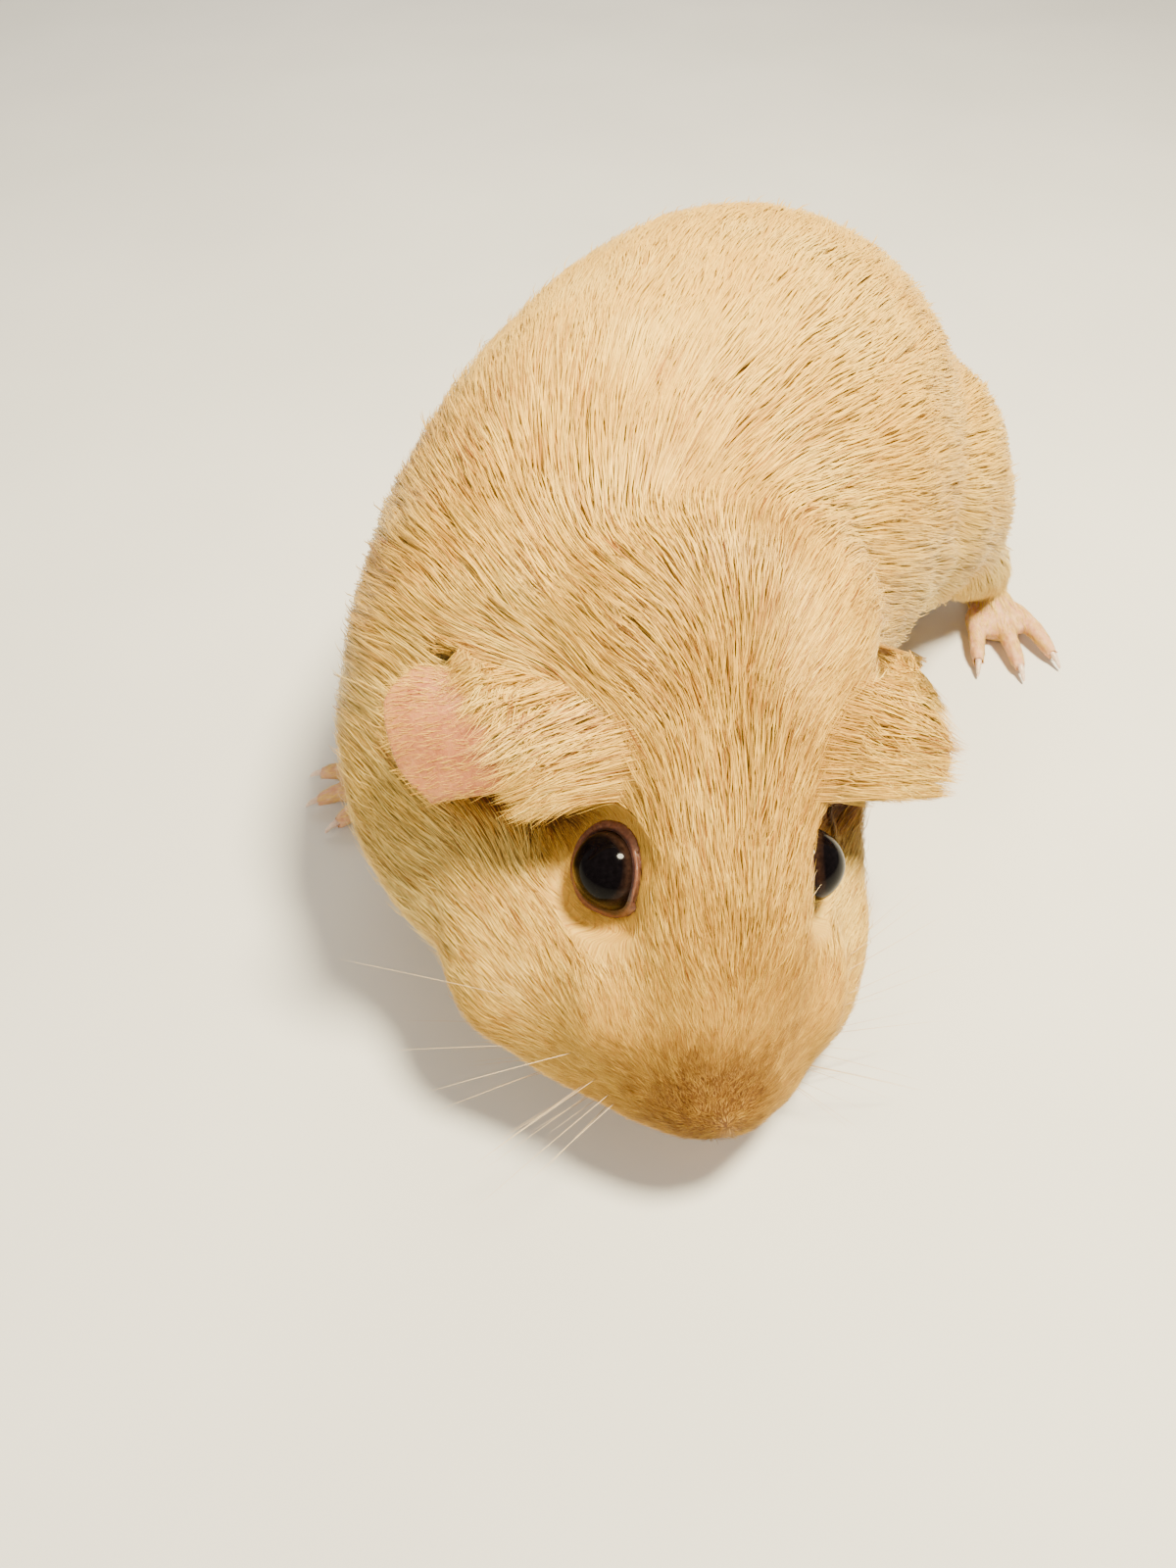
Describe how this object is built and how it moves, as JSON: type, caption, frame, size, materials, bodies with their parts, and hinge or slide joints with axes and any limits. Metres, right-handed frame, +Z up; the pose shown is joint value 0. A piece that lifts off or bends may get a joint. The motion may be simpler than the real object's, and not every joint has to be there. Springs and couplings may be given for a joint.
{
  "type": "guinea pig",
  "caption": "Life-size smooth-haired guinea pig standing still, head low and turned aside, short buff coat, pink ears and feet, for animal scenes.",
  "frame": {"origin": "on the floor, under the middle of the animal's footprint box", "axes": "+Z up; the animal faces -Y, and its own left side is +X"},
  "size_m": [0.171, 0.2202, 0.1014],
  "materials": {
    "fur": "short lying coat, buff to golden cream",
    "ear_skin": "thin bare pink skin",
    "foot_skin": "pinkish skin with sparse pale hair",
    "eye": "wet, glossy, near black",
    "claw_horn": "pale translucent horn"
  },
  "bodies": {
    "root": {"ear_left": "ear_skin", "ear_right": "ear_skin", "eye_left": "eye", "eye_right": "eye", "forefoot_left": "foot_skin", "forefoot_left_claw_1": "claw_horn", "forefoot_left_claw_2": "claw_horn", "forefoot_left_claw_3": "claw_horn", "forefoot_left_claw_4": "claw_horn", "forefoot_right": "foot_skin", "forefoot_right_claw_1": "claw_horn", "forefoot_right_claw_2": "claw_horn", "forefoot_right_claw_3": "claw_horn", "forefoot_right_claw_4": "claw_horn", "foreleg_left": "fur", "foreleg_right": "fur", "head": "fur", "hindfoot_left": "foot_skin", "hindfoot_left_claw_1": "claw_horn", "hindfoot_left_claw_2": "claw_horn", "hindfoot_left_claw_3": "claw_horn", "hindfoot_right": "foot_skin", "hindfoot_right_claw_1": "claw_horn", "hindfoot_right_claw_2": "claw_horn", "hindfoot_right_claw_3": "claw_horn", "hindleg_left": "fur", "hindleg_right": "fur", "neck": "fur", "torso": "fur"}
  },
  "joints": []
}
